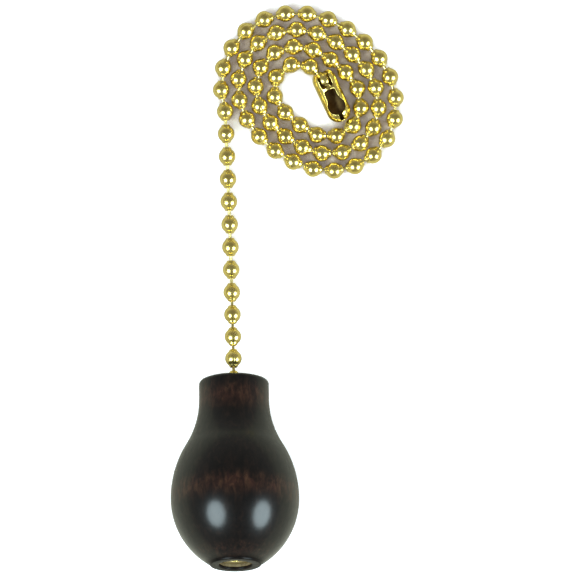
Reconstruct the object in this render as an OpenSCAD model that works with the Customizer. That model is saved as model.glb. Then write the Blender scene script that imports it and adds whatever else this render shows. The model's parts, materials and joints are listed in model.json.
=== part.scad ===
// Pull cord for a pull switch: a brass ball chain with a turned wooden knob
// on one end and a brass coupling on the other.
//
// The pull lies on a table. The chain runs straight up from the knob, then
// winds clockwise into a flat coil, and the coupling lies inside the coil.
// +Z is up out of the table, +Y runs from the knob towards the coil, and the
// origin is on the table under the middle of the whole pull. All sizes in mm.

/* [Chain] */
// Outside diameter of a chain bead
bead_d = 3.2; // [2.4:0.1:4.8]
// Thickness of a bead's brass shell
bead_wall = 0.25; // [0.15:0.05:0.4]
// Length of a bead over its two drawn ends
bead_l = 3.5; // [3.3:0.05:3.6]
// Distance from a bead's middle at which its drawn ends begin, inside the shell
end_start = 1.1; // [0.9:0.05:1.3]
// Diameter of a drawn end where it begins
end_root_d = 2.17; // [1.8:0.01:2.2]
// Diameter of a drawn end at its mouth
end_mouth_d = 1.44; // [1.3:0.02:1.6]
// Diameter of the two holes in a bead
bead_hole_d = 1.1; // [0.8:0.05:1.4]
// Diameter of the wire between two beads
wire_d = 0.6; // [0.4:0.05:0.8]
// Diameter of the rounded head on each end of a wire link
head_d = 1.16; // [0.9:0.02:1.5]
// Distance between the two head centres of a link
head_spacing = 2.4; // [2:0.05:3]
// Distance between neighbouring bead centres with the chain pulled tight
taut_pitch = 4.335; // [3.6:0.005:4.34]

/* [Straight run] */
// Number of links between the coil and the bead at the knob's mouth
run_links = 12; // [4:1:12]
// Sideways place of the bead at the knob's mouth
mouth_x = -10.28; // [-20:0.01:0]
// Lengthways place of the bead at the knob's mouth
mouth_y = -17.6; // [-25:0.01:0]
// Sideways place of the middle of the run, which bows slightly
bow_x = -10.8; // [-20:0.01:0]
// Length over which the run climbs from the table to the mouth
rise_length = 21; // [10:0.5:40]

/* [Coil] */
// Number of beads in the coil, without the one in the coupling
coil_beads = 62; // [30:1:62]
// Place of the coil's centre along X
coil_x = 4.78; // [-10:0.01:20]
// Place of the coil's centre along Y
coil_y = 36.72; // [20:0.01:50]
// Direction from the coil's centre to its first bead
coil_start = 190.1; // [180:0.1:200]
// Mean radius at which the coil starts
coil_r = 16.96; // [12:0.01:20]
// How much the radius shrinks in the first turn
coil_shrink = 3.2; // [3:0.01:4]
// How much more the radius shrinks in each later turn
coil_tighten = 0.055; // [0:0.005:0.2]
// How far the coil is drawn out of round
coil_oval = 1.45; // [0:0.05:2]
// Direction in which the coil is drawn out
coil_oval_dir = 145.9; // [0:0.1:180]
// Bead spacing where the coil starts
coil_pitch_out = 4.215; // [3.6:0.005:4.33]
// Bead spacing where the coil ends
coil_pitch_in = 3.68; // [3.6:0.01:4.33]

/* [Coupling] */
// Outside radius of the coupling
coupling_r = 2.3; // [2:0.05:3]
// Thickness of the coupling's sheet
coupling_wall = 0.35; // [0.25:0.05:0.5]
// Distance between the centres of the two rounded ends
coupling_span = 6.3; // [5:0.1:9]
// Direction in which the coupling lies
coupling_dir = -65; // [-90:1:0]
// Direction of the last link, into the coupling
last_link_dir = -44; // [-90:1:0]
// Length of the last link, between bead centres
last_pitch = 3.85; // [3.6:0.01:4.33]
// Height of the captured bead's centre above the table
captured_z = 2.1; // [2:0.05:2.3]
// Distance from the captured bead to the window
window_x = 2; // [1.6:0.05:2.4]
// Length of the window's straight part
window_l = 3.4; // [2:0.1:4]
// Width of the window's straight part
window_w = 2.3; // [2:0.1:3.2]
// Cut across the window's corners
window_corner = 0.5; // [0.2:0.1:1]
// Diameter of the window's round end, where a bead goes in
window_end_d = 3.4; // [3.3:0.05:3.6]
// Width of the slot over the captured bead
slot_w = 2.3; // [1:0.1:2.4]
// Width of the strap between the slot and the window
strap_w = 0.55; // [0.4:0.05:0.8]
// Diameter of the hole in the captured bead's end
end_hole_d = 3.1; // [2:0.05:3.1]
// Width of the slit in the free end
slit_w = 0.8; // [0.7:0.1:1.2]
// Diameter of the hole in the free end
free_hole_d = 1.3; // [1:0.1:2.4]

/* [Knob] */
// Largest radius of the knob
knob_r = 12.25; // [8:0.05:20]
// Distance of the largest radius from the rim
knob_bulge_z = 23.2; // [15:0.1:30]
// Overall length of the knob
knob_l = 36.4; // [25:0.5:45]
// Radius of the neck and rim
neck_r = 6.68; // [4:0.02:9]
// Length of the straight neck below the rim
neck_l = 3.5; // [1:0.1:8]
// Radius of the curve above the largest radius
shoulder_r = 20; // [12:0.5:30]
// Radius of the curve below the largest radius
base_r = 15; // [12.5:0.5:20]
// Rounding of the rim
rim_round = 0.8; // [0.2:0.1:1.5]
// Radius of the bore for the chain
bore_r = 2.05; // [1.8:0.05:2.5]
// Depth of the flare at the bore's mouth
flare = 0.6; // [0:0.1:1.5]
// Radius of the recess in the base
recess_r = 3.15; // [2.5:0.05:4]
// Depth of the recess
recess_l = 4.4; // [3:0.1:6]
// Cut across the edge of the base
base_edge = 0.2; // [0.1:0.05:0.5]
// Cut across the edge of the recess
recess_edge = 0.3; // [0.1:0.05:0.6]
// Tilt of the knob's axis, base upwards
knob_tilt = 15.7; // [0:0.1:30]
// Turn of the knob's axis on the table
knob_yaw = 0.6; // [-10:0.1:10]
// Height of the knob's axis at the rim
rim_z = 6.25; // [4:0.05:10]

/* [Stop ring] */
// Outside radius of the ring round the last bead
stop_r = 3.07; // [2.5:0.01:3.9]
// Length of the ring
stop_l = 3.4; // [2.5:0.1:4]
// Radius of the round seat inside the ring
stop_seat_r = 1.75; // [1.65:0.05:2]
// Radius of the opening at each end of the ring
stop_opening_r = 1.15; // [0.9:0.05:1.5]
// Cut across the ring's edges
stop_edge = 0.25; // [0.1:0.05:0.5]

/* [Hidden] */
$fn = 64;
bead_r = bead_d / 2;
brass = [0.8, 0.64, 0.3];
wire_brass = [0.72, 0.58, 0.28];
walnut = [0.2, 0.13, 0.1];
seat_gap = 0.07;
over = 0.5;
turns = 4;
refinements = 5;
arc_steps = 16;
rim_steps = 5;
// How far the bead at the mouth stands out of the rim
mouth_out = 0.14;
// Beads inside the knob, with the one in the stop ring
tail_beads_n = 8;

// --- Coil: each bead's sweep angle is found so that the beads keep their pitch

function coil_radius(s) =
    coil_r - coil_shrink * s / 360 - coil_tighten * pow(s / 360, 2)
    + coil_oval * cos(2 * (coil_start - s - coil_oval_dir));

function coil_point(s) = [
    coil_x + coil_radius(s) * cos(coil_start - s),
    coil_y + coil_radius(s) * sin(coil_start - s),
    bead_r
];

function coil_pitch(i) =
    coil_pitch_out + (coil_pitch_in - coil_pitch_out) * i / (coil_beads - 1);

function coil_step(s, ds, want, n) =
    n == 0 ? ds
    : coil_step(s, ds * want / norm(coil_point(s + ds) - coil_point(s)), want, n - 1);

function coil_first_step(s, want) =
    coil_step(s, want / coil_radius(s) * 180 / PI, want, refinements);

function coil_sweeps(i, s) =
    i == coil_beads - 1 ? [s]
    : concat([s], coil_sweeps(i + 1, s + coil_first_step(s, coil_pitch(i))));

sweeps = coil_sweeps(0, 0);
coil_c = [for (s = sweeps) coil_point(s)];
coil_end = coil_c[coil_beads - 1];

// The bead held in the coupling, one link beyond the coil's last bead
climb = captured_z - bead_r;
reach = sqrt(pow(last_pitch, 2) - pow(climb, 2));
captured_c = coil_end + [reach * cos(last_link_dir), reach * sin(last_link_dir), climb];

// --- Straight run: a shallow bow in plan that climbs to the knob's mouth

function run_t(y) = (coil_c[0][1] - y) / (coil_c[0][1] - mouth_y);

function run_x(t) =
    pow(1 - t, 2) * coil_c[0][0] + 2 * t * (1 - t) * bow_x + pow(t, 2) * mouth_x;

mouth_z = rim_z - mouth_out * sin(knob_tilt);
end_slope = tan(knob_tilt) * rise_length / (mouth_z - bead_r);

function run_lift(u) = (3 - end_slope) * pow(u, 2) + (end_slope - 2) * pow(u, 3);

function run_z(y) =
    bead_r + (mouth_z - bead_r) * run_lift(max(0, 1 - (y - mouth_y) / rise_length));

function run_point(y) = [run_x(run_t(y)), y, run_z(y)];

function run_step(y, dy, n) =
    n == 0 ? dy
    : run_step(y, dy * taut_pitch / norm(run_point(y + dy) - run_point(y)), n - 1);

function run_places(i, y) =
    i == run_links - 1 ? [y]
    : concat([y], run_places(i + 1, y + run_step(y, taut_pitch, refinements)));

places = run_places(0, mouth_y);
// Bead 0 is the coil's first bead and the last one sits at the knob's mouth
run_c = concat([coil_c[0]], [for (i = [run_links - 1:-1:0]) run_point(places[i])]);

// --- Knob axis: from the rim to the base

axis = [
    sin(knob_yaw) * cos(knob_tilt),
    -cos(knob_yaw) * cos(knob_tilt),
    sin(knob_tilt)
];
mouth_c = run_c[run_links];
rim_c = mouth_c + mouth_out * axis;
seat_z = knob_l - recess_l;
stop_z0 = seat_z + seat_gap;
last_bead_z = stop_z0 + stop_l / 2;
tail_pitch = (last_bead_z + mouth_out) / tail_beads_n;
tail_c = [for (k = [0:tail_beads_n]) mouth_c + k * tail_pitch * axis];

// --- Building blocks

module along(v) {
    rotate([0, acos(v[2] / norm(v)), atan2(v[1], v[0])]) children();
}

// A hollow bead with a drawn end and a hole towards each neighbour, turned so
// that the spheres' seams run down its side, clear of both ends
module bead(c, a, b) {
    side = atan2(b[1] - a[1], b[0] - a[0]) + 90;
    translate(c)
        difference() {
            union() {
                rotate([0, 0, side]) sphere(r = bead_r);
                for (v = [a - c, b - c])
                    along(v) translate([0, 0, end_start])
                        cylinder(d1 = end_root_d, d2 = end_mouth_d, h = bead_l / 2 - end_start);
            }
            rotate([0, 0, side]) sphere(r = bead_r - bead_wall);
            for (v = [a - c, b - c])
                along(v) translate([0, 0, bead_r / 2]) cylinder(d = bead_hole_d, h = bead_l / 2);
        }
}

// A wire link between two beads, with a head inside each
module link(a, b) {
    translate((a + b) / 2)
        along(b - a) {
            cylinder(d = wire_d, h = head_spacing, center = true);
            for (side = [-1, 1])
                translate([0, 0, side * head_spacing / 2]) sphere(d = head_d);
        }
}

// --- Coil

// The coil's beads and links are kept in one group for each turn
function turn_of(i) = min(turns - 1, floor(sweeps[i] / 360));

function before(i) = i == 0 ? run_c[1] : coil_c[i - 1];

function after(i) = i == coil_beads - 1 ? captured_c : coil_c[i + 1];

module coil_beads_turn(k) {
    color(brass)
        for (i = [0:coil_beads - 1])
            if (turn_of(i) == k)
                bead(coil_c[i], before(i), after(i));
}

module coil_links_turn(k) {
    color(wire_brass)
        for (i = [0:coil_beads - 1])
            if (turn_of(i) == k)
                link(coil_c[i], after(i));
}

module coil_beads_turn_1() coil_beads_turn(0);
module coil_beads_turn_2() coil_beads_turn(1);
module coil_beads_turn_3() coil_beads_turn(2);
module coil_beads_turn_4() coil_beads_turn(3);
module coil_links_turn_1() coil_links_turn(0);
module coil_links_turn_2() coil_links_turn(1);
module coil_links_turn_3() coil_links_turn(2);
module coil_links_turn_4() coil_links_turn(3);

// --- Coupling

module captured_bead() {
    color(brass) bead(captured_c, coil_end, captured_c - (coil_end - captured_c));
}

// Half outline of a round-ended barrel, from pole to pole
function barrel(r) = concat(
    [for (i = [0:arc_steps]) [r * sin(90 * i / arc_steps), -r * cos(90 * i / arc_steps)]],
    [for (i = [0:arc_steps])
        [r * cos(90 * i / arc_steps), coupling_span + r * sin(90 * i / arc_steps)]]
);

// The window's straight part, with its two near corners cut
module window_outline() {
    w = window_w / 2;
    c = window_corner;
    polygon([[0, -w + c], [c, -w], [window_l, -w], [window_l, w], [c, w], [0, w - c]]);
}

module coupling_body() {
    tall = coupling_r + over;
    round_x = window_x + window_l;
    far = coupling_r + over;
    color(brass)
        translate([captured_c[0], captured_c[1], coupling_r])
            rotate([0, 0, coupling_dir])
                difference() {
                    rotate([0, 90, 0]) rotate_extrude() polygon(barrel(coupling_r));
                    rotate([0, 90, 0]) rotate_extrude()
                        polygon(barrel(coupling_r - coupling_wall));
                    translate([window_x, 0, 0])
                        linear_extrude(tall) window_outline();
                    translate([round_x, 0, 0]) cylinder(d = window_end_d, h = tall);
                    translate([-far, -slot_w / 2, 0])
                        cube([far + window_x - strap_w, slot_w, tall]);
                    translate([round_x, -slit_w / 2, 0])
                        cube([coupling_span - round_x + far, slit_w, tall]);
                    rotate([0, -90, 0]) cylinder(d = end_hole_d, h = far);
                    translate([coupling_span, 0, 0])
                        rotate([0, 90, 0]) cylinder(d = free_hole_d, h = far);
                }
}

// --- Straight run

module run_bead(i) {
    color(brass) bead(run_c[i], run_c[i - 1], run_c[i + 1]);
}

module run_link(i) {
    color(wire_brass) link(run_c[i - 1], run_c[i]);
}

module run_bead_01() run_bead(1);
module run_bead_02() run_bead(2);
module run_bead_03() run_bead(3);
module run_bead_04() run_bead(4);
module run_bead_05() run_bead(5);
module run_bead_06() run_bead(6);
module run_bead_07() run_bead(7);
module run_bead_08() run_bead(8);
module run_bead_09() run_bead(9);
module run_bead_10() run_bead(10);
module run_bead_11() run_bead(11);
module run_link_01() run_link(1);
module run_link_02() run_link(2);
module run_link_03() run_link(3);
module run_link_04() run_link(4);
module run_link_05() run_link(5);
module run_link_06() run_link(6);
module run_link_07() run_link(7);
module run_link_08() run_link(8);
module run_link_09() run_link(9);
module run_link_10() run_link(10);
module run_link_11() run_link(11);
module run_link_12() run_link(12);

// --- Chain inside the knob

module mouth_bead() {
    color(brass) bead(mouth_c, run_c[run_links - 1], tail_c[1]);
}

module tail_beads() {
    color(brass)
        for (k = [1:tail_beads_n - 1])
            bead(tail_c[k], tail_c[k - 1], tail_c[k + 1]);
}

module tail_links() {
    color(wire_brass)
        for (k = [1:tail_beads_n]) link(tail_c[k - 1], tail_c[k]);
}

module last_bead() {
    c = tail_c[tail_beads_n];
    color(brass) bead(c, tail_c[tail_beads_n - 1], c + axis);
}

// --- Knob and the ring that stops it

module on_knob_axis() {
    translate(rim_c) along(axis) children();
}

module stop_ring() {
    e = stop_edge;
    color(brass)
        on_knob_axis()
            difference() {
                rotate_extrude()
                    polygon([
                        [0, stop_z0], [stop_r - e, stop_z0], [stop_r, stop_z0 + e],
                        [stop_r, stop_z0 + stop_l - e], [stop_r - e, stop_z0 + stop_l],
                        [0, stop_z0 + stop_l]
                    ]);
                translate([0, 0, last_bead_z]) sphere(r = stop_seat_r);
                translate([0, 0, stop_z0 - over])
                    cylinder(r = stop_opening_r, h = stop_l + 2 * over);
            }
}

// The radius that makes the hollow curve run smoothly into the shoulder curve
hollow_r = (pow(knob_r - neck_r, 2) + pow(knob_bulge_z - neck_l, 2))
    / (2 * (knob_r - neck_r)) - shoulder_r;
// Both curves touch where their centres' line crosses them
hollow_c = [neck_r + hollow_r, neck_l];
shoulder_c = [knob_r - shoulder_r, knob_bulge_z];
base_c = [knob_r - base_r, knob_bulge_z];
meet_angle = atan2(knob_bulge_z - neck_l, hollow_c[0] - shoulder_c[0]);
base_angle = asin((knob_l - base_edge - knob_bulge_z) / base_r);

function arc(c, r, from, to, n) =
    [for (i = [0:n]) let (a = from + (to - from) * i / n) c + r * [cos(a), sin(a)]];

module knob_outline() {
    polygon(concat(
        [[bore_r + flare, 0]],
        arc([neck_r - rim_round, rim_round], rim_round, -90, 0, rim_steps),
        arc(hollow_c, hollow_r, 180, 180 - meet_angle, arc_steps),
        arc(shoulder_c, shoulder_r, -meet_angle, 0, arc_steps),
        arc(base_c, base_r, base_angle / arc_steps, base_angle, arc_steps - 1),
        [
            [base_c[0] + base_r * cos(base_angle) - base_edge, knob_l],
            [recess_r + recess_edge, knob_l], [recess_r, knob_l - recess_edge],
            [recess_r, seat_z], [bore_r, seat_z], [bore_r, flare]
        ]
    ));
}

module knob() {
    color(walnut) on_knob_axis() rotate_extrude($fn = 96) knob_outline();
}

// --- Nodes

coil_beads_turn_1();
coil_beads_turn_2();
coil_beads_turn_3();
coil_beads_turn_4();
coil_links_turn_1();
coil_links_turn_2();
coil_links_turn_3();
coil_links_turn_4();
captured_bead();
coupling_body();
run_bead_01();
run_bead_02();
run_bead_03();
run_bead_04();
run_bead_05();
run_bead_06();
run_bead_07();
run_bead_08();
run_bead_09();
run_bead_10();
run_bead_11();
run_link_01();
run_link_02();
run_link_03();
run_link_04();
run_link_05();
run_link_06();
run_link_07();
run_link_08();
run_link_09();
run_link_10();
run_link_11();
run_link_12();
mouth_bead();
tail_beads();
tail_links();
last_bead();
stop_ring();
knob();
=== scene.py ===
"""Ball chain pull with a turned wooden knob: looks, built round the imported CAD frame."""
import json
import math
import random

import bmesh
import bpy
import numpy as np
from mathutils import Matrix, Vector


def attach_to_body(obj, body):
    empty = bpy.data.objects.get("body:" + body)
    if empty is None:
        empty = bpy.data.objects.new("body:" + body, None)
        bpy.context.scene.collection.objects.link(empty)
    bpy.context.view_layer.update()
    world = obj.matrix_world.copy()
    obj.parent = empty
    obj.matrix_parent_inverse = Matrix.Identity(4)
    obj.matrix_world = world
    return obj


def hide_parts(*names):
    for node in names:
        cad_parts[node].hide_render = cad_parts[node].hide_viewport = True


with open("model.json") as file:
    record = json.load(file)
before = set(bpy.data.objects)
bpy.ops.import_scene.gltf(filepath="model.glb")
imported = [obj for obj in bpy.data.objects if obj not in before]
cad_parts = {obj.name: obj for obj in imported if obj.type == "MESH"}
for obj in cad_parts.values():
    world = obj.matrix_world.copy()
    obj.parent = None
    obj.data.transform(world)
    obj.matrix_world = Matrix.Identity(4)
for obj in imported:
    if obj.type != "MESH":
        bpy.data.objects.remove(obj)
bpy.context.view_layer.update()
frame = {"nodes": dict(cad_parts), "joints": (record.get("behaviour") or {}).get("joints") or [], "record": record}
MM = 0.001
random.seed(7)
nodes = frame["nodes"]
body_of = {n: b for b, ns in frame["record"]["behaviour"]["bodies"].items() for n in ns}

# The chain, in metres
BEAD_R = 1.6 * MM
BEAD_WALL = 0.25 * MM
HALF_HEADS = 1.2 * MM
HEAD_R = 0.58 * MM
WIRE_R = 0.3 * MM

# ---------------------------------------------------------------- camera
# Height of the camera, width of the square it sees, and width of its sensor in mm
CAM_H = 3.0
FIELD = 0.1102
SENSOR = 36
cam_data = bpy.data.cameras.new("camera")
cam = bpy.data.objects.new("camera", cam_data)
bpy.context.scene.collection.objects.link(cam)
cam_data.sensor_width = SENSOR
cam_data.lens = SENSOR * CAM_H / FIELD
cam_data.clip_start, cam_data.clip_end = 0.1, 10
cam.location = (0.00006, 0, CAM_H)
bpy.context.scene.camera = cam


# ---------------------------------------------------------------- helpers
def mesh_object(name, verts, faces, smooth=True):
    mesh = bpy.data.meshes.new(name)
    mesh.from_pydata([tuple(v) for v in verts], [], faces)
    mesh.validate()
    mesh.polygons.foreach_set("use_smooth", [smooth] * len(mesh.polygons))
    mesh.update()
    obj = bpy.data.objects.new(name, mesh)
    bpy.context.scene.collection.objects.link(obj)
    return obj


def frame_to(axis, spin=0.0):
    """Rotation whose Z is the given axis, turned about it by spin."""
    lean = Vector(axis).normalized().to_track_quat("Z", "Y").to_matrix()
    return lean @ Matrix.Rotation(spin, 3, "Z")


def lathe(profile, angles, closed_ends=False):
    """Vertices and faces of a profile of (r, z) pairs turned about Z."""
    verts, rings, faces = [], [], []
    n = len(angles)
    for r, z in profile:
        if r < 1e-9:
            rings.append([len(verts)])
            verts.append(Vector((0, 0, z)))
        else:
            rings.append(list(range(len(verts), len(verts) + n)))
            verts += [Vector((r * math.cos(a), r * math.sin(a), z)) for a in angles]
    for lower, upper in zip(rings, rings[1:]):
        for k in range(n):
            j = (k + 1) % n
            quad = [lower[k % len(lower)], lower[j % len(lower)]]
            quad += [upper[j % len(upper)], upper[k % len(upper)]]
            face = list(dict.fromkeys(quad))
            if len(face) > 2:
                faces.append(face)
    if closed_ends:
        first, last = rings[0], rings[-1]
        for k in range(n):
            j = (k + 1) % n
            faces.append([last[k], last[j], first[j], first[k]])
    return verts, faces


def around(n):
    return [2 * math.pi * k / n for k in range(n)]


def arc(cx, cz, r, a0, a1, n):
    """Points on an arc from angle a0 to a1, in degrees."""
    turns = [math.radians(a0 + (a1 - a0) * i / n) for i in range(n + 1)]
    return [(cx + r * math.cos(a), cz + r * math.sin(a)) for a in turns]


def islands(obj):
    """Vertex positions of each separate solid of a CAD node."""
    bm = bmesh.new()
    bm.from_mesh(obj.data)
    bmesh.ops.remove_doubles(bm, verts=bm.verts, dist=2e-6)
    seen, out = set(), []
    for start in bm.verts:
        if start in seen:
            continue
        stack, part = [start], []
        seen.add(start)
        while stack:
            v = stack.pop()
            part.append(v.co[:])
            for e in v.link_edges:
                w = e.other_vert(v)
                if w not in seen:
                    seen.add(w)
                    stack.append(w)
        out.append(np.array(part))
    bm.free()
    return out


def sphere_centre(points):
    """Centre of a hollow bead, from the vertices of its outer shell."""
    c = (points.min(0) + points.max(0)) / 2
    for band in (0.12, 0.06, 0.03, 0.02, 0.02):
        # The drawn ends stand off the sphere and are left out of the fit
        d = np.linalg.norm(points - c, axis=1)
        p = points[abs(d - BEAD_R) < band * MM]
        a = np.c_[2 * p, np.ones(len(p))]
        c = np.linalg.lstsq(a, (p * p).sum(1), rcond=None)[0][:3]
    return Vector(c)


def link_line(points):
    """Middle and direction of a wire link, from its vertices."""
    mid = points.mean(0)
    _, _, axes = np.linalg.svd(points - mid, full_matrices=False)
    u = axes[0]
    t = (points - mid) @ u
    return Vector(mid + u * (t.max() + t.min()) / 2), Vector(u), (t.max() - t.min())


# ---------------------------------------------------------------- the chain, read from the CAD nodes
bead_nodes = [n for n in nodes if "bead" in n]
link_nodes = [n for n in nodes if "link" in n]
beads = []
for n in bead_nodes:
    for part in islands(nodes[n]):
        beads.append({"node": n, "c": sphere_centre(part), "next": []})
links = []
for n in link_nodes:
    for part in islands(nodes[n]):
        mid, u, length = link_line(part)
        links.append({"node": n, "mid": mid, "u": u, "len": length})
for piece in links:
    ends = []
    for side in (-1, 1):
        head = piece["mid"] + piece["u"] * side * HALF_HEADS
        ends.append(min(beads, key=lambda b: (b["c"] - head).length))
    a, b = ends
    a["next"].append((b["c"] - a["c"]).normalized())
    b["next"].append((a["c"] - b["c"]).normalized())
# A bead at an end of the chain has its second hole straight across
for b in beads:
    while len(b["next"]) < 2:
        b["next"].append(-b["next"][0])


def bead_profile():
    """Half section of a bead: mouth, drawn end, shell, drawn end, mouth and the inside."""
    r, inside = BEAD_R / MM, (BEAD_R - BEAD_WALL) / MM
    # The drawn end leaves the shell smoothly and closes to a rolled mouth
    end = [(0.56, 1.66), (0.575, 1.715), (0.61, 1.745), (0.65, 1.748), (0.69, 1.732), (0.722, 1.70)]
    end += [(0.79, 1.59), (0.855, 1.475), (0.925, 1.35)]
    shell = []
    for i in range(25):
        a = math.radians(39.5 + 101 * i / 24)
        shell.append((r * math.sin(a), r * math.cos(a)))
    inner = []
    for i in range(9):
        a = math.radians(156 - 132 * i / 8)
        inner.append((inside * math.sin(a), inside * math.cos(a)))
    outer = end + shell + [(p, -q) for p, q in reversed(end)]
    return [(p * MM, q * MM) for p, q in outer + inner]


# Three close columns carry the fine seam where the shell was folded shut
SEAM = math.radians(1.6)
SEAM_DEPTH = 0.014
COLUMNS = 37
bead_angles = [-SEAM, 0.0, SEAM]
bead_angles += [SEAM + (2 * math.pi - 2 * SEAM) * k / COLUMNS for k in range(1, COLUMNS)]
bead_verts, bead_faces = lathe(bead_profile(), bead_angles, closed_ends=True)
for k, v in enumerate(bead_verts):
    if k % len(bead_angles) == 1 and v.length > BEAD_R * 0.99:
        bead_verts[k] = v * (1 - SEAM_DEPTH)


def bead_mesh(b):
    """One bead with its holes turned towards both neighbours."""
    d1, d0 = b["next"]
    m = (d1 - d0).normalized()
    n = m.cross(d1)
    beta = 0.0
    if n.length > 1e-6:
        beta = m.angle(d1)
        n.normalize()
    rot = frame_to(m, random.uniform(0, 2 * math.pi))
    out = []
    for v in bead_verts:
        w = rot @ v
        if beta:
            g = max(-1.0, min(1.0, w.normalized().dot(m) / 0.9))
            w = Matrix.Rotation(beta * g, 3, n) @ w
        out.append(b["c"] + w)
    return out, bead_faces


def link_profile(length):
    """Section of a wire link: two rounded heads with soft shoulders."""
    z = length / 2 - HEAD_R
    out = []
    join = math.degrees(math.acos((WIRE_R + 0.05 * MM) / HEAD_R))
    for i in range(9):
        a = math.radians(90 - (90 + join) * i / 8)
        out.append((max(0.0, HEAD_R * math.cos(a)) if i else 0.0, z + HEAD_R * math.sin(a)))
    foot = out[-1][1]
    for r, d in ((0.32, 0.08), (0.305, 0.18)):
        out.append((r * MM, foot - d * MM))
    out.append((WIRE_R, foot - 0.4 * MM))
    return out + [(r, -zz) for r, zz in reversed(out)]


def join_meshes(name, parts):
    verts, faces = [], []
    for v, f in parts:
        base = len(verts)
        verts += v
        faces += [[base + i for i in face] for face in f]
    return mesh_object(name, verts, faces)


def attach(obj, cad_node, material):
    """Make a piece ride with its CAD node's body and stand in for that node."""
    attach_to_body(obj, body_of[cad_node])
    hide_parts(cad_node)
    obj.data.materials.clear()
    obj.data.materials.append(material)


# ---------------------------------------------------------------- materials
def new_material(name):
    mat = bpy.data.materials.new(name)
    mat.use_nodes = True
    tree = mat.node_tree
    bsdf = tree.nodes["Principled BSDF"]
    return mat, tree, bsdf


def noise(tree, coords, scale, detail=3.0, rough=0.55, distortion=0.0):
    n = tree.nodes.new("ShaderNodeTexNoise")
    n.inputs["Scale"].default_value = scale
    n.inputs["Detail"].default_value = detail
    n.inputs["Roughness"].default_value = rough
    n.inputs["Distortion"].default_value = distortion
    tree.links.new(coords, n.inputs["Vector"])
    return n.outputs["Fac"]


def ramp(tree, fac, stops):
    n = tree.nodes.new("ShaderNodeValToRGB")
    el = n.color_ramp.elements
    while len(el) < len(stops):
        el.new(0.5)
    for e, (pos, col) in zip(el, stops):
        e.position = pos
        e.color = (*col, 1)
    tree.links.new(fac, n.inputs["Fac"])
    return n.outputs["Color"]


def mix(tree, fac, a, b, blend="MIX"):
    n = tree.nodes.new("ShaderNodeMix")
    n.data_type = "RGBA"
    n.blend_type = blend
    for value, socket in ((fac, n.inputs[0]), (a, n.inputs[6]), (b, n.inputs[7])):
        if isinstance(value, bpy.types.NodeSocket):
            tree.links.new(value, socket)
        elif isinstance(value, tuple):
            socket.default_value = (*value, 1)
        else:
            socket.default_value = value
    return n.outputs[2]


def remap(tree, value, lo0, hi0, lo1, hi1):
    n = tree.nodes.new("ShaderNodeMapRange")
    n.inputs["From Min"].default_value = lo0
    n.inputs["From Max"].default_value = hi0
    n.inputs["To Min"].default_value = lo1
    n.inputs["To Max"].default_value = hi1
    tree.links.new(value, n.inputs["Value"])
    return n.outputs["Result"]


def maths(tree, operation, a, b):
    n = tree.nodes.new("ShaderNodeMath")
    n.operation = operation
    for value, socket in ((a, n.inputs[0]), (b, n.inputs[1])):
        if isinstance(value, bpy.types.NodeSocket):
            tree.links.new(value, socket)
        else:
            socket.default_value = value
    return n.outputs[0]


def bump(tree, bsdf, height, strength, distance):
    n = tree.nodes.new("ShaderNodeBump")
    n.inputs["Strength"].default_value = strength
    n.inputs["Distance"].default_value = distance
    tree.links.new(height, n.inputs["Height"])
    tree.links.new(n.outputs["Normal"], bsdf.inputs["Normal"])


def brass_material(name, light, deep, tarnish, rough_lo, rough_hi):
    """Lacquered brass: each solid a little different, with haze, tarnish spots and fine marks."""
    mat, tree, bsdf = new_material(name)
    coords = tree.nodes.new("ShaderNodeTexCoord").outputs["Object"]
    broad = noise(tree, coords, 260, 2.0)
    cloud = noise(tree, coords, 1100, 4.0, 0.6)
    fine = noise(tree, coords, 7000, 3.0, 0.6)
    solid = tree.nodes.new("ShaderNodeNewGeometry").outputs["Random Per Island"]
    tone = mix(tree, remap(tree, cloud, 0.35, 0.7, 0, 1), light, deep)
    tint = mix(tree, remap(tree, solid, 0, 1, 0.0, 0.55), tone, deep)
    spots = remap(tree, noise(tree, coords, 2300, 2.0, 0.5, 0.4), 0.64, 0.74, 0, 0.5)
    colour = mix(tree, spots, tint, tarnish)
    tree.links.new(colour, bsdf.inputs["Base Color"])
    bsdf.inputs["Metallic"].default_value = 1.0
    haze = remap(tree, broad, 0.3, 0.7, rough_lo, rough_hi)
    marks = remap(tree, fine, 0.45, 0.75, 0, 0.05)
    tree.links.new(maths(tree, "ADD", haze, marks), bsdf.inputs["Roughness"])
    bump(tree, bsdf, mix(tree, 0.6, cloud, fine), 0.12, 0.004 * MM)
    return mat


# Light tone, deep tone, tarnish, and the least and greatest roughness
bead_brass = brass_material(
    "bead_brass", (0.95, 0.79, 0.28), (0.86, 0.66, 0.18), (0.46, 0.27, 0.07), 0.20, 0.27
)
wire_brass = brass_material(
    "wire_brass", (0.95, 0.82, 0.38), (0.86, 0.70, 0.26), (0.46, 0.30, 0.09), 0.22, 0.32
)
coupling_brass = brass_material(
    "coupling_brass", (0.96, 0.80, 0.27), (0.90, 0.69, 0.18), (0.50, 0.30, 0.08), 0.15, 0.22
)
# Inside of the coupling: dark, rough brass that is tarnish together with painted shade
inner_tarnish_and_painted_shade = brass_material(
    "inner_tarnish_and_painted_shade", (0.30, 0.20, 0.08), (0.16, 0.09, 0.035), (0.07, 0.04, 0.02), 0.42, 0.6
)
ring_brass = brass_material(
    "ring_brass", (0.66, 0.54, 0.26), (0.48, 0.37, 0.17), (0.26, 0.17, 0.08), 0.28, 0.42
)

# ---------------------------------------------------------------- beads and links
for n in bead_nodes:
    parts = [bead_mesh(b) for b in beads if b["node"] == n]
    attach(join_meshes("vis_" + n, parts), n, bead_brass)

for n in link_nodes:
    parts = []
    for piece in links:
        if piece["node"] != n:
            continue
        verts, faces = lathe(link_profile(piece["len"]), around(20))
        rot = frame_to(piece["u"])
        parts.append(([piece["mid"] + rot @ v for v in verts], faces))
    attach(join_meshes("vis_" + n, parts), n, wire_brass)

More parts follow.
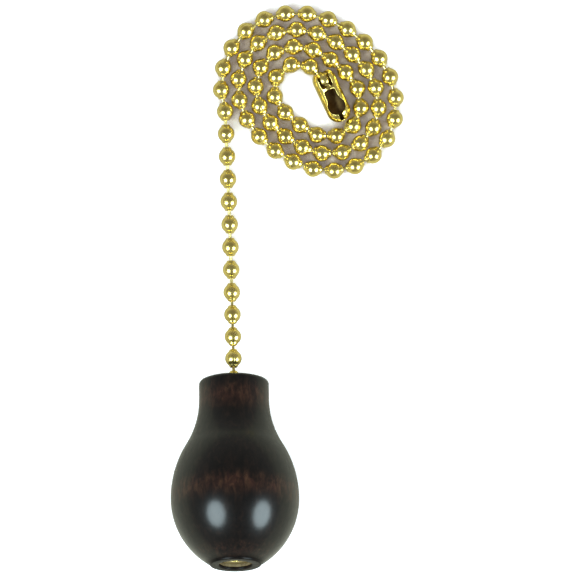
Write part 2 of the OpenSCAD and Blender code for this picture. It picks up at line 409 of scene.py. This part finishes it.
# ---------------------------------------------------------------- knob frame
spin = next(j for j in frame["joints"] if j["name"] == "knob_spin")
knob_axis = Vector(spin["axis"]).normalized()
on_axis = Vector(spin["pos_m"])


def along_axis(n):
    t = [(v.co - on_axis).dot(knob_axis) for v in nodes[n].data.vertices]
    return min(t), max(t)


t_rim, t_base = along_axis("knob")
rim = on_axis + knob_axis * t_rim
knob_rot = frame_to(knob_axis)
# The knob's profile, in mm: its largest radius and that radius's place, and its length
KNOB_R, BULGE, KNOB_L = 12.25, 23.2, (t_base - t_rim) / MM
NECK_R, NECK_L, RIM_ROUND, EDGE_ROUND = 6.68, 3.5, 0.8, 0.3
BORE_R, FLARE, RECESS_R, RECESS_L, BARE_DEPTH = 2.05, 0.6, 3.15, 4.4, 0.55
# Curves above and below the largest radius, and the hollow curve that meets the first smoothly
SHOULDER_R, BASE_R = 20.0, 15.0
HOLLOW_R = ((KNOB_R - NECK_R) ** 2 + (BULGE - NECK_L) ** 2) / (2 * (KNOB_R - NECK_R)) - SHOULDER_R


def dense(points, step):
    """The same outline with points no more than about a step apart."""
    out = []
    for (r0, z0), (r1, z1) in zip(points, points[1:]):
        n = max(1, int(math.hypot(r1 - r0, z1 - z0) / step))
        out += [(r0 + (r1 - r0) * i / n, z0 + (z1 - z0) * i / n) for i in range(n)]
    return out + [points[-1]]


def knob_profile():
    """Half section of the knob, from its bore round the outside to its recess."""
    hollow = (NECK_R + HOLLOW_R, NECK_L)
    shoulder = (KNOB_R - SHOULDER_R, BULGE)
    base = (KNOB_R - BASE_R, BULGE)
    meet = math.degrees(math.atan2(BULGE - NECK_L, hollow[0] - shoulder[0]))
    foot_z = KNOB_L - EDGE_ROUND
    end = math.degrees(math.asin((foot_z - BULGE) / BASE_R))
    foot = base[0] + BASE_R * math.cos(math.radians(end))
    return (
        arc(BORE_R + FLARE, FLARE, FLARE, 180, 270, 6)
        + arc(NECK_R - RIM_ROUND, RIM_ROUND, RIM_ROUND, -90, 0, 10)
        + arc(*hollow, HOLLOW_R, 180, 180 - meet, 40)
        + arc(*shoulder, SHOULDER_R, -meet, 0, 30)[1:]
        + arc(*base, BASE_R, end / 36, end, 35)
        + arc(foot - 0.25, foot_z, EDGE_ROUND, 35, 90, 4)
        + arc(RECESS_R + EDGE_ROUND, foot_z, EDGE_ROUND, 90, 180, 4)
        + [(RECESS_R, KNOB_L - RECESS_L), (BORE_R, KNOB_L - RECESS_L)]
    )


profile = dense(knob_profile(), 0.45)
verts, faces = lathe([(r * MM, z * MM) for r, z in profile], around(160), closed_ends=True)
knob = mesh_object("vis_knob", [rim + knob_rot @ v for v in verts], faces)
# Each point's place on the knob before it was tilted, in mm, for the wood
local = knob.data.attributes.new("turned", "FLOAT_VECTOR", "POINT")
local.data.foreach_set("vector", [c / MM for v in verts for c in v])


# ---------------------------------------------------------------- wood
def wood_material():
    """Dark stained and varnished wood, with worn bands and a bare recess."""
    mat, tree, bsdf = new_material("wood")
    attr = tree.nodes.new("ShaderNodeAttribute")
    attr.attribute_name = "turned"
    pos = attr.outputs["Vector"]
    split = tree.nodes.new("ShaderNodeSeparateXYZ")
    tree.links.new(pos, split.inputs[0])
    height = split.outputs["Z"]

    def stretched(x, y, z):
        m = tree.nodes.new("ShaderNodeMapping")
        m.inputs["Scale"].default_value = (x, y, z)
        tree.links.new(pos, m.inputs["Vector"])
        return m.outputs["Vector"]

    grain = noise(tree, stretched(1, 1, 0.4), 1.0, 3.0, 0.5, 0.7)
    pores = noise(tree, stretched(1, 1, 0.16), 6.5, 3.0, 0.6)
    blotch = noise(tree, stretched(1, 1, 0.8), 0.32, 3.0, 0.6, 0.8)
    mottle = noise(tree, stretched(1, 1, 0.55), 1.1, 4.0, 0.65, 0.5)
    dark = (0.0022, 0.0017, 0.0017)
    stain = ramp(
        tree,
        grain,
        [
            (0.30, (0.0022, 0.0017, 0.0016)),
            (0.52, (0.0046, 0.0030, 0.0025)),
            (0.72, (0.0105, 0.0055, 0.0040)),
        ],
    )
    worn = ramp(
        tree,
        grain,
        [
            (0.28, (0.022, 0.0080, 0.0060)),
            (0.50, (0.040, 0.0145, 0.0090)),
            (0.74, (0.078, 0.0340, 0.0180)),
        ],
    )

    def both(a, b):
        return maths(tree, "MULTIPLY", a, b)

    def band(centre, reach, wander):
        """A soft band round the knob whose height wanders with the mottle."""
        shifted = maths(tree, "ADD", both(mottle, wander), height)
        gap = maths(tree, "SUBTRACT", shifted, centre + wander / 2)
        size = maths(tree, "ABSOLUTE", gap, 0.0)
        n = tree.nodes.new("ShaderNodeMapRange")
        n.interpolation_type = "SMOOTHSTEP"
        n.inputs["From Min"].default_value = reach
        n.inputs["From Max"].default_value = 0
        n.inputs["To Min"].default_value = 0
        n.inputs["To Max"].default_value = 1
        tree.links.new(size, n.inputs["Value"])
        return n.outputs["Result"]

    # The stain is rubbed thin round the neck, the girth and the foot
    neck = both(band(4.3, 3.6, 3.0), remap(tree, mottle, 0.32, 0.66, 0.25, 1.0))
    girth = both(band(23.2, 3.2, 2.0), remap(tree, mottle, 0.34, 0.66, 0.25, 1.0))
    foot = both(band(34.8, 1.8, 1.5), remap(tree, mottle, 0.4, 0.7, 0.0, 0.5))
    wear = maths(tree, "MAXIMUM", maths(tree, "MAXIMUM", neck, girth), foot)
    wear = both(wear, remap(tree, blotch, 0.3, 0.6, 0.55, 1.0))
    colour = mix(tree, wear, stain, worn)
    colour = mix(tree, remap(tree, pores, 0.56, 0.72, 0, 0.3), colour, dark)
    # The wall and floor of the recess are bare wood
    below_edge = maths(tree, "LESS_THAN", height, KNOB_L - BARE_DEPTH)
    above_floor = maths(tree, "GREATER_THAN", height, KNOB_L - RECESS_L - 0.02)
    x, y = split.outputs["X"], split.outputs["Y"]
    inside = maths(tree, "LESS_THAN", maths(tree, "ADD", both(x, x), both(y, y)), (RECESS_R + 0.12) ** 2)
    bare = both(both(below_edge, above_floor), inside)
    tan = ramp(tree, grain, [(0.3, (0.12, 0.085, 0.045)), (0.7, (0.22, 0.165, 0.09))])
    colour = mix(tree, bare, colour, tan)
    tree.links.new(colour, bsdf.inputs["Base Color"])
    tree.links.new(remap(tree, mottle, 0.3, 0.7, 0.30, 0.44), bsdf.inputs["Roughness"])
    # The varnish thins out over the edge of the base
    varnish = remap(tree, height, KNOB_L - 1.0, KNOB_L - 0.35, 0.92, 0.12)
    coated = both(maths(tree, "SUBTRACT", 1.0, bare), varnish)
    tree.links.new(coated, bsdf.inputs["Coat Weight"])
    bsdf.inputs["Coat Roughness"].default_value = 0.2
    bsdf.inputs["Coat IOR"].default_value = 1.39
    bsdf.inputs["Specular IOR Level"].default_value = 0.08
    bump(tree, bsdf, mix(tree, 0.45, grain, pores), 0.18, 0.05 * MM)
    return mat


attach(knob, "knob", wood_material())

# ---------------------------------------------------------------- stop ring
# Outside radius, radii of the round seat and of the openings, and two edge roundings, in mm
STOP_R, SEAT_R, OPENING_R, STOP_ROUND, LIP_ROUND = 3.07, 1.75, 1.15, 0.3, 0.2
z0, z1 = ((t - t_rim) / MM for t in along_axis("stop_ring"))
lip = math.degrees(math.acos(OPENING_R / SEAT_R))
ring = (
    arc(STOP_R - STOP_ROUND, z0 + STOP_ROUND, STOP_ROUND, -90, 0, 6)
    + arc(STOP_R - STOP_ROUND, z1 - STOP_ROUND, STOP_ROUND, 0, 90, 6)
    + arc(OPENING_R + LIP_ROUND, z1 - LIP_ROUND, LIP_ROUND, 90, 180, 5)
    + arc(0, (z0 + z1) / 2, SEAT_R, lip, -lip, 14)
    + arc(OPENING_R + LIP_ROUND, z0 + LIP_ROUND, LIP_ROUND, 180, 270, 5)
)
verts, faces = lathe([(r * MM, z * MM) for r, z in ring], around(96), closed_ends=True)
stop_ring = mesh_object("vis_stop_ring", [rim + knob_rot @ v for v in verts], faces)
attach(stop_ring, "stop_ring", ring_brass)

# ---------------------------------------------------------------- coupling
# Outside radius, distance between the two ends' centres and sheet thickness, in mm
COUP_R, SPAN, SHEET = 2.3, 6.3, 0.35
# Window: where its straight part starts, its round end's centre, and their half widths
WINDOW_X, ROUND_X, HALF_W, ROUND_R, CORNER = 2.0, 5.4, 1.15, 1.7, 0.5
STRAP, HALF_SLIT, END_HOLE_R, FREE_HOLE_R, PAST = 0.55, 0.4, 1.55, 0.65, 3.5
seat = frame["record"]["mounts"][0]
lay = Vector(seat["axis"]).normalized()
far_seat = Vector(seat["pos_m"])
near_seat = Vector((far_seat.x, far_seat.y, COUP_R * MM)) - lay * SPAN * MM
flat = Matrix((lay, Vector((0, 0, 1)).cross(lay), Vector((0, 0, 1)))).transposed()


def barrel_object(name, r):
    """A round-ended barrel along X, with the centre of its first end at the origin."""
    side = [(r, SPAN * i / 16) for i in range(1, 16)]
    outline = arc(0, 0, r, -90, 0, 14) + side + arc(0, SPAN, r, 0, 90, 14)
    outline = [(0.0, outline[0][1])] + outline[1:-1] + [(0.0, outline[-1][1])]
    verts, faces = lathe(outline, around(72))
    return mesh_object(name, [Vector((v.z, v.x, v.y)) for v in verts], faces)


def closed(name, lower, upper):
    """A closed solid between two matching outlines."""
    n = len(lower)
    faces = [list(range(n))[::-1], list(range(n, 2 * n))]
    faces += [[i, (i + 1) % n, n + (i + 1) % n, n + i] for i in range(n)]
    return mesh_object(name, lower + upper, faces, smooth=False)


def prism(name, outline, z0, z1):
    """An upright prism with the given outline."""
    return closed(name, *([Vector((x, y, z)) for x, y in outline] for z in (z0, z1)))


def rod_x(name, r, x0, x1):
    """A round rod along X."""
    ring = [(r * math.cos(a), r * math.sin(a)) for a in around(32)]
    return closed(name, *([Vector((x, y, z)) for y, z in ring] for x in (x0, x1)))


def apply_modifiers(obj):
    mesh = bpy.data.meshes.new_from_object(obj.evaluated_get(bpy.context.evaluated_depsgraph_get()))
    obj.modifiers.clear()
    obj.data = mesh


def cut(obj, *cutters):
    """Take each cutter out of a solid, and delete the cutter."""
    for c in cutters:
        m = obj.modifiers.new("cut", "BOOLEAN")
        m.operation, m.solver, m.object = "DIFFERENCE", "EXACT", c
        bpy.context.view_layer.update()
        apply_modifiers(obj)
        bpy.data.objects.remove(c)


def window_outline():
    """Straight window with a round end, filleted where the two meet and at its near corners."""
    reach = math.sqrt(ROUND_R**2 - HALF_W**2)
    start = math.degrees(math.atan2(HALF_W, -reach))
    bend = arc(ROUND_X, 0, ROUND_R, -(start - 14), start - 14, 40)
    near = arc(WINDOW_X + CORNER, HALF_W - CORNER, CORNER, 90, 180, 6)
    near += arc(WINDOW_X + CORNER, CORNER - HALF_W, CORNER, 180, 270, 6)
    fillet_x = ROUND_X - reach - 0.45
    return near + [(fillet_x, -HALF_W)] + bend + [(fillet_x, HALF_W)]


def slot_outline():
    """Slot over the captured bead, open at the end, with its two inner corners rounded."""
    end = WINDOW_X - STRAP
    half = [(-PAST, HALF_W), (end - 0.3, HALF_W), (end - 0.09, HALF_W - 0.09), (end, HALF_W - 0.3)]
    return [(x, -y) for x, y in half] + half[::-1]


slit = [(ROUND_X, -HALF_SLIT), (SPAN + 3, -HALF_SLIT), (SPAN + 3, HALF_SLIT), (ROUND_X, HALF_SLIT)]
body = barrel_object("vis_coupling_body", COUP_R)
cut(
    body,
    barrel_object("cut_inside", COUP_R - SHEET),
    prism("cut_window", window_outline(), 0, 3),
    prism("cut_slot", slot_outline(), 0, 3),
    prism("cut_slit", slit, 0, 3),
    rod_x("cut_end", END_HOLE_R, -PAST, 0),
    rod_x("cut_free", FREE_HOLE_R, SPAN, SPAN + PAST),
)
# Roll every sheared edge over, then true the sheet up again on its two radii
remesh = body.modifiers.new("remesh", "REMESH")
remesh.mode, remesh.voxel_size, remesh.use_smooth_shade = "VOXEL", 0.06, True
soften = body.modifiers.new("soften", "SMOOTH")
soften.factor, soften.iterations = 0.5, 7
apply_modifiers(body)
place = np.empty(len(body.data.vertices) * 3)
normal = np.empty(len(body.data.vertices) * 3)
body.data.vertices.foreach_get("co", place)
body.data.vertex_normals.foreach_get("vector", normal)
place, normal = place.reshape(-1, 3), normal.reshape(-1, 3)
off = place.copy()
off[:, 0] -= np.clip(place[:, 0], 0, SPAN)
dist = np.linalg.norm(off, axis=1)
true_r = np.where(dist > COUP_R - SHEET / 2, COUP_R, COUP_R - SHEET)
facing = abs((normal * off).sum(1)) / dist
hold = np.clip((facing - 0.8) / 0.17, 0, 1)
place += off * ((true_r / dist - 1) * hold)[:, None]
body.data.vertices.foreach_set("co", place.ravel())
body.data.update()
body.data.transform(Matrix.Translation(near_seat) @ flat.to_4x4() @ Matrix.Scale(MM, 4))
body.data.polygons.foreach_set("use_smooth", [True] * len(body.data.polygons))
attach(body, "coupling_body", coupling_brass)
# The inside of the sheet is dull and dark: partly tarnish, partly painted shade for the inside of the barrel
body.data.materials.append(inner_tarnish_and_painted_shade)
for poly in body.data.polygons:
    p = poly.center - near_seat
    x = max(0.0, min(SPAN * MM, p.dot(lay)))
    out = p - lay * x
    if out.length < (COUP_R - SHEET * 0.55) * MM and poly.normal.dot(out) < 0:
        poly.material_index = 1

# ---------------------------------------------------------------- floor, lights, world
# Half width of the floor and its depth under the object, in metres
FLOOR_HALF, FLOOR_DROP = 3, 2e-5
# What the floor gives to reflections, and how much painted glow it shows the camera where nothing stands over it,
# washing out its cast shadows
FLOOR_BOUNCE = (0.52, 0.46, 0.36)
FLOOR_PAINTED_GLOW = 0.55
corners = [(x * FLOOR_HALF, y * FLOOR_HALF, -FLOOR_DROP) for x, y in ((-1, -1), (1, -1), (1, 1), (-1, 1))]
floor = mesh_object("floor", corners, [[0, 1, 2, 3]], smooth=False)
mat, tree, bsdf = new_material("floor_white")
coords = tree.nodes.new("ShaderNodeTexCoord").outputs["Object"]
white = ramp(tree, noise(tree, coords, 40), [(0.3, (0.84, 0.84, 0.84)), (0.7, (0.88, 0.88, 0.88))])
# Painted shade: close under the chain the white is painted brown, standing in for the shadow and the brass's
# bounce light there
near = tree.nodes.new("ShaderNodeAmbientOcclusion")
near.samples = 8
near.inputs["Distance"].default_value = 2.9 * MM
open_sky = remap(tree, near.outputs["AO"], 0.34, 0.60, 0, 1)
# Painted shade: brown where the occlusion mask finds the floor closed in, white in the open
painted_shade = mix(tree, open_sky, (0.34, 0.20, 0.08), white)
# Seen directly the floor is white; what it throws back on the brass and the varnish is held down
seen = tree.nodes.new("ShaderNodeLightPath").outputs["Is Camera Ray"]
tree.links.new(mix(tree, seen, FLOOR_BOUNCE, painted_shade), bsdf.inputs["Base Color"])
bsdf.inputs["Roughness"].default_value = 1.0
bsdf.inputs["Specular IOR Level"].default_value = 0.0
# Painted light: the floor glows to the camera where it is open, filling its cast shadows, and glows little close
# under the chain
painted_glow = maths(tree, "MULTIPLY", seen, remap(tree, open_sky, 0, 1, 0.06, FLOOR_PAINTED_GLOW))
bsdf.inputs["Emission Color"].default_value = (1, 0.98, 0.97, 1)
tree.links.new(painted_glow, bsdf.inputs["Emission Strength"])
floor.data.materials.append(mat)


BOX_DISTANCE, BOX_WIDE, BOX_TALL, BOX_RADIANCE = 1.6, 0.93, 1.02, 12.0
BOX_COLOUR = (0.76, 0.94, 1.0)


def softbox(name, direction, upright):
    """An oval softbox in a direction from the origin, with its long side along upright."""
    data = bpy.data.lights.new(name, "AREA")
    data.shape = "ELLIPSE"
    data.size, data.size_y = BOX_WIDE, BOX_TALL
    data.energy = BOX_RADIANCE * math.pi * BOX_WIDE * BOX_TALL * math.pi / 4
    data.color = BOX_COLOUR
    lamp = bpy.data.objects.new(name, data)
    bpy.context.scene.collection.objects.link(lamp)
    way = Vector(direction).normalized()
    lamp.location = way * BOX_DISTANCE
    top = Vector(upright)
    top = (top - way * top.dot(way)).normalized()
    lamp.rotation_euler = Matrix((top.cross(way), top, way)).transposed().to_euler()
    lamp.visible_camera = False


softbox("softbox_left", (-0.563, -0.295, 0.772), (-0.15, 1.76, 0.73))
softbox("softbox_right", (0.750, -0.302, 0.588), (0.15, 1.76, 0.73))

# The studio is brightest near the horizon
world = bpy.data.worlds.new("studio")
bpy.context.scene.world = world
world.use_nodes = True
tree = world.node_tree
background = tree.nodes["Background"]
coords = tree.nodes.new("ShaderNodeTexCoord").outputs["Generated"]
split = tree.nodes.new("ShaderNodeSeparateXYZ")
tree.links.new(coords, split.inputs[0])
sky = ramp(
    tree,
    remap(tree, split.outputs["Z"], -0.05, 1.0, 0.0, 1.0),
    [
        (0.0, (0.44, 0.44, 0.42)),
        (0.30, (0.36, 0.36, 0.34)),
        (0.60, (0.22, 0.22, 0.21)),
        (1.0, (0.18, 0.18, 0.175)),
    ],
)
tree.links.new(sky, background.inputs["Color"])
background.inputs["Strength"].default_value = 1.0

scene = bpy.context.scene
scene.view_settings.view_transform = "Standard"
scene.view_settings.look = "None"
